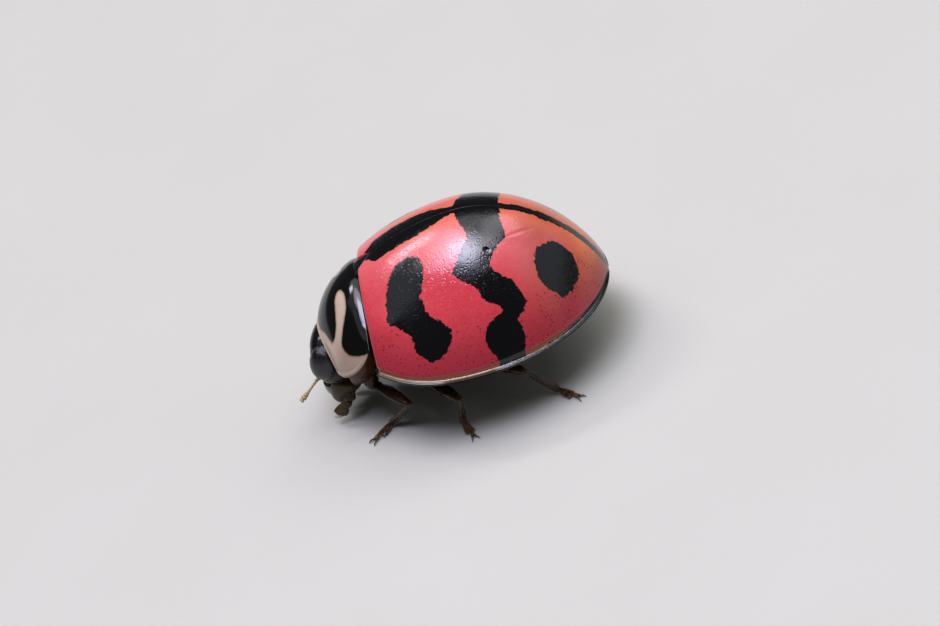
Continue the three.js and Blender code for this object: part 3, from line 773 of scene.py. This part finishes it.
capsule = ball(HEAD_RADII, 110, 200, HEAD_SQUARENESS) + HEAD_CENTRE
x, y, z = np.moveaxis(capsule, -1, 0)
capsule[..., 0] *= 1 - 0.22 * np.clip((-0.2 - z) / 0.5, 0, 1)  # it narrows to the mouth
outward = unit((capsule - HEAD_CENTRE) / HEAD_RADII)
groove = hump(z + 0.50 + 0.25 * x**2, GROOVE_WIDTH) * np.clip(-(y + 0.45) / 0.2, 0, 1)
socket = hump(away_from(capsule, FEELER_SOCKET), SOCKET_WIDTH)
dip = hump(away_from(capsule, BROW_DIP), DIP_WIDTH)
sunk = GROOVE_DEPTH * groove + SOCKET_DEPTH * socket + DIP_DEPTH * dip
capsule = capsule - sunk[..., None] * outward

paint = clear_horn("head_horn", coat_weight=0.5, coat_roughness=0.16)
crown = paint.spread(paint.ragged(paint.value("crown"), 0.08, 2.0, 0.08), -0.03, 0.04)
face = paint.spread(paint.ragged(paint.value("face"), 0.08, 2.0, 0.08), -0.02, 0.03, 1, 0)
paint.colour(
    paint.mottled(0.15, 4.0, (0.007, 0.003, 0.0015), (0.020, 0.009, 0.003)),
    (crown, (0.003, 0.0025, 0.0025)),
    (face, paint.mottled(0.10, 3.0, (0.28, 0.20, 0.13), (0.35, 0.27, 0.19))),
)
pits = paint.spread(paint.cells(0.05), 0, 0.4)
paint.relief((pits, 0.002), (paint.noise(0.015, 3.0), 0.001))

x, y, z = np.moveaxis(capsule, -1, 0)
face = np.where(y < -0.3, distance_to(smooth_outline(FACE_OUTLINE), x, z), NOT_FACE)
values = {"face": face, "crown": z - 0.18 + 0.2 * (y < -0.4)}
make_piece("head_capsule", [in_head(capsule)], paint, ["head"], values=values)

# The neck is an oval tube of folded skin, whose radius runs in a wave along it.
paint = Finish("neck_skin", roughness=0.6)
paint.colour(paint.mottled(0.1, 4.0, (0.05, 0.022, 0.010), (0.10, 0.05, 0.024)))
paint.relief((paint.noise(0.05, 4.0), 0.008))
turn = np.linspace(0, 2 * np.pi, 48, endpoint=False)
reach = np.linspace(0, 1, 30)[:, None]
fold = NECK_RADIUS + NECK_FOLD * np.sin(reach * 40)
y = -0.95 + NECK_LENGTH * reach + 0 * turn
neck = np.stack([fold * np.cos(turn) * 1.1, y, -0.25 + fold * np.sin(turn)], -1)
make_piece("neck", [neck], paint)

# ------------------------
# Eyes. Each is a dark swollen ball of facets under a clear skin, set in the side of the head with
# its lower end tilted forward. Some seven hundred of the facets stand clear of the head.

EYE_RADII, EYE_CENTRE = np.array([0.24, 0.27, 0.40]), np.array([0.66, -0.37, 0.14])
EYE_TILT = np.radians(14.0)
FACETS, FACET_RISE = 1500, 0.006


def facet_centres(count):
    """Points spread evenly over a ball: equal steps in height, turned by the golden angle."""
    step = np.arange(count) + 0.5
    height = 1 - 2 * step / count
    turn = np.pi * (3 - np.sqrt(5)) * step
    flat = np.sqrt(1 - height**2)
    return np.stack([flat * np.cos(turn), flat * np.sin(turn), height], -1)


def faceted_eye(side):
    """A stretched ball, each facet standing up less by its squared distance from its centre."""
    sphere = ball(np.ones(3), 150, 170)
    nearest = (sphere.reshape(-1, 3) @ facet_centres(FACETS).T).max(1).reshape(sphere.shape[:2])
    gap = np.sqrt(np.clip(2 - 2 * nearest, 0, None))
    raised = FACET_RISE * (1 - np.clip(gap / np.sqrt(4 / FACETS), 0, 1.3) ** 2)
    tilted = turned(sphere * (EYE_RADII + raised[..., None]), EYE_TILT)
    return in_head(tilted + EYE_CENTRE * [side, 1, 1])


paint = clear_horn("eye_facets", coat_roughness=0.2)
paint.colour(paint.mottled(0.2, 3.0, (0.002, 0.0015, 0.0026), (0.006, 0.004, 0.0075)))
paint.relief((paint.noise(0.01, 2.0), 0.0006))
for name, side in SIDES.items():
    make_piece(f"faceted_eye_{name}", [faceted_eye(side)], paint, [f"eye_{name}"])

# ------------------------
# Mouthparts. A flat lip of horn hangs below the face over two hooked jaws. Beside them hang the
# long palps, whose last joint is a flat axe blade with a soft pad, and between them the chin with
# two small palps of three joints.

# Rods are tables of (share of the way, half width, half depth, how far the rod bows up there).
JAW = [
    (0, 0.15, 0.13, 0), (0.3, 0.15, 0.13, 0.02), (0.6, 0.11, 0.09, 0.04),
    (0.85, 0.06, 0.05, 0.02), (1.0, 0.008, 0.008, -0.03),
]
CHIN = [
    (-0.1, 0.05, 0.05, 0), (0.05, 0.34, 0.18, 0), (0.5, 0.34, 0.20, 0.01),
    (0.85, 0.24, 0.15, 0), (1.0, 0.06, 0.05, 0),
]
MAXILLA = [
    (-0.1, 0.05, 0.05, 0), (0.05, 0.24, 0.17, 0), (0.45, 0.25, 0.16, 0.02),
    (0.85, 0.17, 0.11, 0), (1.0, 0.05, 0.04, 0),
]
JOINT = [
    (-0.04, 0.2, 0.2, 0), (0.02, 0.6, 0.6, 0), (0.2, 0.8, 0.8, 0), (0.7, 1.0, 1.0, 0),
    (0.95, 0.85, 0.85, 0), (1.03, 0.3, 0.3, 0),
]
BLADE = [
    (-0.03, 0.015, 0.015, 0), (0.03, 0.07, 0.06, 0), (0.35, 0.12, 0.075, 0),
    (0.8, 0.15, 0.075, 0), (0.95, 0.13, 0.06, 0), (1.0, 0.05, 0.02, 0),
]
# Places in the head's left half, from which both sides are made.
JAW_ENDS = [(0.27, -0.52, -0.66), (0.05, -0.58, -1.20)]
MAXILLA_ENDS = [(0.34, -0.20, -0.60), (0.30, -0.44, -1.16)]
LONG_PALP = [
    (0.30, -0.16, -0.72), (0.40, -0.14, -0.84), (0.48, -0.18, -1.00), (0.48, -0.30, -1.10),
    (0.49, -0.45, -1.33),
]
SMALL_PALP = [
    (0.08, -0.30, -0.98), (0.11, -0.32, -1.06), (0.14, -0.35, -1.14), (0.16, -0.40, -1.23),
]
LONG_PALP_RADII, SMALL_PALP_RADII = (0.15, 0.13, 0.12), (0.035, 0.04, 0.035)
PAD_RADII, PAD_BEYOND = [0.06, 0.115, 0.05], 0.12
LIP_HALF_WIDTH, LIP_HEIGHT, LIP_THICK = 0.36, 0.38, 0.07


def spline(rows, steps):
    """A smooth curve of cubics through the rows of a table, straight on past its two ends."""
    p = np.array(rows, float)
    p = np.vstack([2 * p[0] - p[1], p, 2 * p[-1] - p[-2]])
    return np.vstack([cubics(p[:-3], p[1:-2], p[2:-1], p[3:], steps), p[-2]])


def limb(start, end, stations, up=(0, 0, 1), steps=6, around=16):
    """An oval rod from a start to an end by its table: an ellipse carried along the way. Its
    width is square to the way and to up."""
    start, end = np.asarray(start, float), np.asarray(end, float)
    share, width, depth, bow = spline(stations, steps).T[:, :, None]
    way = end - start
    side = unit(np.cross(way, up))
    over = unit(np.cross(side, way))
    turn = 2 * np.pi * np.arange(around)[None, :] / around
    middle = start + share[..., None] * way + bow[..., None] * over
    oval = (width * np.cos(turn))[..., None] * side + (depth * np.sin(turn))[..., None] * over
    return middle + oval


def joints(places, radii):
    """Knobbed rods from each place to the next, by the joint's table times each radius."""
    rows = np.array(JOINT)
    spans = zip(places[:-1], places[1:], radii)
    return [limb(a, b, rows * [1, radius, radius, 1], steps=5, around=14) for a, b, radius in spans]


def on_side(places, side):
    """Places of the left half, for that side."""
    return np.array(places) * [side, 1, 1]


mouth_paint = clear_horn(
    "mouth_horn", coat_weight=0.35, coat_roughness=0.2, specular_ior_level=0.1,
    subsurface_weight=0.25, subsurface_scale=0.00006, subsurface_radius=(1.0, 0.45, 0.2),
)
mouth_paint.colour(
    mouth_paint.mottled(0.12, 4.0, (0.030, 0.018, 0.003), (0.072, 0.048, 0.008)),
    (mouth_paint.noise(0.3, 1.0), (0.025, 0.012, 0.004)),
)
mouth_paint.relief((mouth_paint.cells(0.035), 0.0015), (mouth_paint.noise(0.012, 3.0), 0.001))

# The lip: a curtain that narrows downward, bulged forward, with a notch in its lower edge.
share, sideways = plate_grid(0, 1, 26, 41)
x = (LIP_HALF_WIDTH - 0.06 * share) * sideways
y = -0.70 + 0.12 * sideways**2 + 0.06 * share - 0.03 * np.sin(np.pi * share)
z = -0.62 - (LIP_HEIGHT - 0.06 * sideways**4 + 0.03 * hump(sideways, 0.25)) * share
front = np.stack([x, y, z], -1)
plate = in_head(np.hstack([front, front[:, ::-1] + [0, LIP_THICK, 0]]))
make_piece("lip_plate", [plate], mouth_paint, ["labrum"], "strip")

paint = Finish("jaw_horn", roughness=0.25, coat_weight=1.0, coat_roughness=0.1)
paint.colour(paint.mottled(0.1, 3.0, (0.010, 0.004, 0.002), (0.03, 0.012, 0.005)))
paint.relief((paint.noise(0.03, 4.0), 0.002))
jaws = [limb(*on_side(JAW_ENDS, side), JAW, (side, 0, 0)) for side in SIDES.values()]
make_piece("jaws", [in_head(jaw) for jaw in jaws], paint)

chin = [limb((0, -0.02, -0.64), (0, -0.36, -1.10), CHIN, (0, 1, 0.3), 8, 28)]
for side in SIDES.values():
    chin.append(limb(*on_side(MAXILLA_ENDS, side), MAXILLA, (1, 0, 0), 8, 24))
make_piece("chin_plate", [in_head(part) for part in chin], mouth_paint)

paint = Finish("palp_pad_skin", roughness=0.5)
paint.colour(paint.mottled(0.03, 3.0, (0.30, 0.19, 0.14), (0.42, 0.29, 0.22)))
paint.relief((paint.cells(0.012), 0.001))
for name, side in SIDES.items():
    places = in_head(on_side(LONG_PALP, side))
    palps = joints(places[:4], LONG_PALP_RADII)
    palps.append(limb(places[3], places[4], BLADE, (1, 0, 0)))
    palps += joints(in_head(on_side(SMALL_PALP, side)), SMALL_PALP_RADII)
    make_piece(f"mouth_palps_{name}", palps, mouth_paint, [f"palp_{name}"])
    pad_centre = places[4] + PAD_BEYOND * (places[4] - places[3])
    make_piece(f"palp_pad_{name}", [pad_centre + ball(PAD_RADII, 14, 24)], paint)

# ------------------------
# Feelers. Eleven joints of tan horn each, threaded on one another: a stout first joint in its
# socket, a thin whip, and a loose club of three at the end.

FEELER_LENGTHS = [2.2, 1.2, 1.5, 1.0, 0.95, 0.9, 0.85, 0.9, 1.2, 1.3, 1.3]
FEELER_RADII = [0.052, 0.038, 0.030, 0.027, 0.027, 0.028, 0.031, 0.036, 0.052, 0.060, 0.050]
FEELER_WAYS = {
    "left": [
        (0.46, -0.60, -0.34), (0.60, -0.72, -0.40), (0.74, -0.84, -0.52), (0.88, -1.00, -0.62)
    ],
    "right": [
        (-0.46, -0.60, -0.34), (-0.64, -0.68, -0.42), (-0.78, -0.64, -0.66), (-0.84, -0.60, -0.92)
    ],
}
paint = Finish(
    "feeler_horn", roughness=0.45, coat_weight=0.4, coat_roughness=0.2,
    subsurface_weight=0.3, subsurface_scale=0.00006,
)
paint.colour(paint.mottled(0.1, 3.0, (0.17, 0.11, 0.04), (0.26, 0.19, 0.09)))
paint.relief((paint.cells(0.02), 0.001), (paint.noise(0.03, 3.0), 0.002))
ends = np.append(0, np.cumsum(FEELER_LENGTHS)) / sum(FEELER_LENGTHS)
for name, way in FEELER_WAYS.items():
    feeler = joints(in_head(bezier(way, ends)), FEELER_RADII)
    make_piece(f"feeler_{name}", feeler, paint, [f"antenna_{name}"])

# ------------------------
# Underside. Three closed bodies of horn carry the legs: the chest under the shield, the breast
# with its big plates, and the belly of six overlapping plates, black with amber sides.

TRUNK_INSET = 0.42
TRUNK_LENGTH = WING_LENGTH - TRUNK_INSET
BREAST_END = 1.93
BREAST_DEPTH, BELLY_RISE = 0.95, 0.15
CHEST_LENGTH, CHEST_SIZE = 0.66, 0.9  # shares of the shield's length and size
BELLY_SEAMS = np.array([1.9, 2.55, 2.98, 3.36, 3.70, 4.0, 4.34])
HIPS = {"front": (0.5, -0.34, -0.97), "middle": (0.85, 0.78, -1.0), "hind": (0.78, 1.95, -0.92)}


def trunk_depth(y):
    """How far the keel hangs below the rim: 0.95 mm at the breast, 0.8 at the belly, and run out
    to nothing at the tail by the root of one less the cube of the way there."""
    t = np.clip((y - 0.9) / (TRUNK_LENGTH - 0.9), 0, 1)
    return (BREAST_DEPTH - BELLY_RISE * t) * np.sqrt(np.clip(1 - t**3, 0, 1))


def trunk(first, last, stations, details, around=61):
    """Rings of a body between the wing cases: over the top it follows the dome, drawn in, and
    below it sags by its depth times one less the fourth power of the way to the side."""
    y, across = plate_grid(first, last, stations, around)
    along = y / TRUNK_LENGTH
    top = dome(along, across, TRUNK_INSET)
    top[..., 1] = y
    side = to_side(across)
    sag = trunk_depth(y) * (1 - side**4) - details(y, top[..., 0], side)
    low = top.copy()
    low[..., 2] = rim_height(along) - sag * np.minimum(1, 3 * (1 - np.abs(side)))
    return np.hstack([top, low[:, ::-1][:, 1:-1]])


def breast_lines(y, x, _):
    """Humps turned in: a bowed groove between the plates, a middle line, a hollow at each hip."""
    groove = 0.04 * hump(y - 0.55 - 0.12 * np.abs(x), 0.035) + 0.025 * hump(x, 0.025) * (y > 0.7)
    for hip_x, hip_y, _ in (HIPS["middle"], HIPS["hind"]):
        groove = groove + 0.07 * hump(np.hypot(np.abs(x) - hip_x, 0.8 * (y - hip_y)), 0.26)
    return groove


def belly_lines(y, _, side):
    """Each plate slopes back, by a power of the way along it, to an edge over the next one. The
    seams bow with the square of the way to the side."""
    bent = y + 0.10 * side**2
    plate = np.clip(np.searchsorted(BELLY_SEAMS, bent) - 1, 0, len(BELLY_SEAMS) - 2)
    length = BELLY_SEAMS[plate + 1] - BELLY_SEAMS[plate]
    share = np.clip((bent - BELLY_SEAMS[plate]) / length, 0, 1)
    return 0.03 * (1 - share**0.6) + 0.02 * hump(share - 1, 0.06)


def chest():
    """Rings of the chest: over the top it follows the shield, drawn in, and below it hangs as the
    trunk does, with a keel between two grooves and a hollow at each front hip."""
    along, across = plate_grid(0, CHEST_LENGTH, 60, 61)
    top = shield_surface(along, across, CHEST_SIZE)
    side = to_side(across)
    edge = shield_surface(along, np.ones_like(across), CHEST_SIZE)
    x, y = edge[..., 0] * side, edge[..., 1]
    hip_x, hip_y, _ = HIPS["front"]
    keel = 0.05 * hump(top[..., 0], 0.12) - 0.03 * hump(np.abs(top[..., 0]) - 0.1, 0.02)
    hollow = 0.08 * hump(np.hypot(np.abs(x) - hip_x, y - hip_y), 0.25)
    depth = (1.0 - 0.25 * along) * (1 - side**4) + keel - hollow
    low = np.stack([x, y, edge[..., 2] - depth], -1)
    return np.hstack([top, low[:, ::-1][:, 1:-1]])


paint = clear_horn("underside_horn", coat_weight=0.45, coat_roughness=0.16)
paint.colour(
    paint.mottled(0.2, 4.0, (0.007, 0.005, 0.004), (0.024, 0.012, 0.008)),
    (
        paint.spread(paint.ragged(paint.value("side"), 0.15, 3.0, 0.24), 0.58, 0.76),
        paint.mottled(0.15, 4.0, (0.034, 0.010, 0.002), (0.062, 0.022, 0.004)),
    ),
)
pits = paint.spread(paint.cells(0.09), 0, 0.3)
paint.relief((pits, 0.006), (paint.noise(0.03, 4.0), 0.002))

TRUNK_PIECES = {
    "breast_plates": (trunk(0.02, BREAST_END, 130, breast_lines), 0.75, "thorax"),
    "belly_plates": (
        trunk(BREAST_END + 0.01, TRUNK_LENGTH - 0.02, 200, belly_lines), 1.0, "abdomen"
    ),
    "chest_plates": (chest(), 0.85, "prosternum"),
}
for name, (rings, amber, node) in TRUNK_PIECES.items():
    off_middle = np.abs(rings[..., 0])
    values = {"side": amber * off_middle / off_middle.max(1, keepdims=True)}
    make_piece(name, [rings], paint, [node], values=values)

# ------------------------
# Legs. Brown horn rods: a hip ball in its hollow, a small ring joint, a spindle of a thigh, a
# straight shin that widens to its end, and a foot of three joints with a split pad of hairs and
# two toothed claws.

# Knees are body points; ankles and toes are points above the floor.
KNEES = {"front": (1.38, 0.35, -1.02), "middle": (1.86, 1.39, -0.82), "hind": (1.56, 2.72, -0.74)}
ANKLES = {"front": (0.86, -1.66, 0.12), "middle": (1.5, -0.24, 0.12), "hind": (1.38, 1.72, 0.12)}
TOES = {"front": (1.2, -2.1, 0.05), "middle": (2.0, -0.06, 0.05), "hind": (1.74, 2.14, 0.05)}
FLOOR_UP = in_body([0, 0, 1]) - in_body([0, 0, 0])
HIP_RADII, HIP_RISE = [0.20, 0.16, 0.27], [0, 0, 0.15]
RING_FROM, RING_TO, THIGH_FROM = 0.08, 0.30, 0.22  # millimetres from the hip
LOBE_SPREAD, CLAW_LENGTH, CLAW_SPREAD, CLAW_DROP = 0.09, 0.14, 0.07, 0.035
RING = [(0, 0.03, 0.027, 0), (0.15, 0.10, 0.081, 0), (0.6, 0.11, 0.09, 0), (1.0, 0.06, 0.054, 0)]
THIGH = [
    (0.0, 0.03, 0.03, 0), (0.04, 0.09, 0.08, 0), (0.2, 0.125, 0.10, 0.01),
    (0.45, 0.145, 0.11, 0.03), (0.72, 0.125, 0.10, 0.03), (0.92, 0.095, 0.085, 0.01),
    (1.0, 0.07, 0.06, 0), (1.04, 0.015, 0.015, 0),
]
SHIN = [
    (-0.04, 0.015, 0.015, 0), (0.02, 0.06, 0.05, 0), (0.12, 0.05, 0.05, 0.01),
    (0.4, 0.062, 0.06, 0.02), (0.75, 0.075, 0.068, 0.015), (0.93, 0.082, 0.07, 0),
    (1.0, 0.06, 0.055, 0), (1.02, 0.01, 0.01, 0),
]
FOOT_FIRST = [
    (-0.02, 0.01, 0.01, 0), (0.03, 0.04, 0.04, 0), (0.18, 0.055, 0.042, 0),
    (0.32, 0.08, 0.045, -0.01), (0.36, 0.05, 0.03, -0.015), (0.38, 0.01, 0.01, -0.015),
]
FOOT_LOBE = [
    (0.30, 0.01, 0.01, -0.01), (0.34, 0.035, 0.03, -0.01), (0.48, 0.048, 0.032, -0.015),
    (0.60, 0.04, 0.024, -0.02), (0.64, 0.01, 0.01, -0.02),
]
FOOT_LAST = [
    (0.38, 0.01, 0.01, 0.01), (0.43, 0.026, 0.026, 0.012), (0.65, 0.030, 0.030, 0.02),
    (0.86, 0.040, 0.036, 0.012), (0.92, 0.01, 0.01, 0.01),
]
CLAW = [
    (0, 0.020, 0.026, 0), (0.3, 0.018, 0.026, 0.014), (0.7, 0.012, 0.016, 0.012),
    (1.0, 0.003, 0.003, -0.02),
]
TOOTH = [(0, 0.016, 0.016, 0), (0.5, 0.012, 0.013, 0), (1.0, 0.003, 0.003, -0.004)]

leg_paint = clear_horn("leg_horn", coat_weight=0.5, coat_roughness=0.2)
leg_paint.colour(
    leg_paint.mottled(0.15, 4.0, (0.014, 0.006, 0.003), (0.034, 0.015, 0.006)),
    (leg_paint.spread(leg_paint.noise(0.5, 2.0), 0.45, 0.7), (0.065, 0.028, 0.010)),
)
leg_paint.relief((leg_paint.cells(0.045), 0.003), (leg_paint.noise(0.012, 3.0), 0.0012))
claw_paint = Finish("claw_horn", roughness=0.25, coat_weight=1.0, coat_roughness=0.1)
claw_paint.colour(claw_paint.mottled(0.05, 3.0, (0.02, 0.008, 0.003), (0.06, 0.025, 0.008)))
claw_paint.relief((claw_paint.noise(0.01, 3.0), 0.0008))


def claw_pair(toe, way, sideways):
    """Two hooks that spread from the toe, each with a tooth under its root."""
    parts = []
    for s in (1, -1):
        root = toe - 0.06 * way + s * 0.018 * sideways + 0.01 * FLOOR_UP
        tip = root + CLAW_LENGTH * way + s * CLAW_SPREAD * sideways - CLAW_DROP * FLOOR_UP
        heel = root + 0.06 * way + s * 0.015 * sideways - 0.045 * FLOOR_UP
        parts += [limb(root, tip, CLAW, FLOOR_UP, 4, 10), limb(root, heel, TOOTH, way, 3, 8)]
    return parts


def build_leg(place, name, side):
    """The four pieces of one leg. Returns its hairy rods, with the number and length of hairs."""
    hip, knee = on_side([HIPS[place], KNEES[place]], side)
    ankle, toe = in_body(on_side([ANKLES[place], TOES[place]], side))
    thigh_way, foot_way = unit(knee - hip), unit(toe - ankle)
    ring = limb(hip + RING_FROM * thigh_way, hip + RING_TO * thigh_way, RING)
    thigh = limb(hip + THIGH_FROM * thigh_way, knee, THIGH, steps=8, around=24)
    upper = [ball(HIP_RADII, 24, 28) + hip + HIP_RISE, ring, thigh]
    bow = unit(np.cross(np.cross(ankle - knee, knee - hip), ankle - knee))
    shin = limb(knee, ankle, SHIN, bow, 8, 20)
    sideways = unit(np.cross(foot_way, FLOOR_UP))
    foot = [limb(ankle, toe, FOOT_FIRST, FLOOR_UP)]
    foot += [limb(ankle, toe + s * LOBE_SPREAD * sideways, FOOT_LOBE, FLOOR_UP) for s in (1, -1)]
    foot.append(limb(ankle, toe, FOOT_LAST, FLOOR_UP))
    for piece, parts, segment in (
        ("thigh", upper, "femur"), ("shin", [shin], "tibia"), ("foot", foot, "tarsus"),
    ):
        node = f"{place}_leg_{name}_{segment}"
        make_piece(f"{place}_{piece}_{name}", parts, leg_paint, [node])
    claws = claw_pair(toe, foot_way, sideways)
    make_piece(f"{place}_claws_{name}", claws, claw_paint)
    return [(thigh, 50, 0.05), (shin, 150, 0.075), *[(part, 70, 0.05) for part in foot]]


hairy_rods = []
for place in HIPS:
    for name, side in SIDES.items():
        hairy_rods += build_leg(place, name, side)

# ------------------------
# Hairs. Fine pale bristles stand along the shins and thighs and under the feet, each a tapering
# three-sided thread that leans towards the foot.

HAIR_RADIUS = 0.0035
HAIR_STEPS = [(-0.05, 1.0), (0.35, 0.8), (0.7, 0.5), (1.0, 0.15)]  # share of length, of radius
HAIR_SEED = 7


def hairs_on(rings, count, length, random):
    """Threads at random places on a rod. Each leaves square to the rod's middle line, leans
    along it and tapers in three steps to a point."""
    row = random.integers(2, len(rings) - 3, count)
    column = random.integers(0, rings.shape[1], count)
    root = rings[row, column]
    out = unit(root - rings[row].mean(1))
    way = unit(rings[row + 1].mean(1) - rings[row].mean(1))
    size = length * random.uniform(0.6, 1.1, (count, 1))
    side = np.cross(out, way)[:, None]
    turn = 2 * np.pi * np.arange(3)[:, None] / 3
    spoke = np.cos(turn) * side + np.sin(turn) * out[:, None]
    threads = []
    for share, thick in HAIR_STEPS:
        middle = root + size * share * (0.6 * out + (0.3 + 0.5 * share) * way)
        threads.append(middle[:, None] + HAIR_RADIUS * thick * spoke)
    return np.stack(threads, 1)


paint = Finish("leg_hair", roughness=0.45)
paint.colour(paint.mottled(0.3, 2.0, (0.12, 0.085, 0.045), (0.20, 0.15, 0.09)))
paint.relief((paint.noise(0.01), 0.0004))
random = np.random.default_rng(HAIR_SEED)
threads = [thread for rod in hairy_rods for thread in hairs_on(*rod, random)]
make_piece("leg_bristles", threads, paint)

visual_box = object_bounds()
boxes = {"frame": frame_box, "visual": visual_box}
{key: [list(corner) for corner in box] for key, box in boxes.items()}
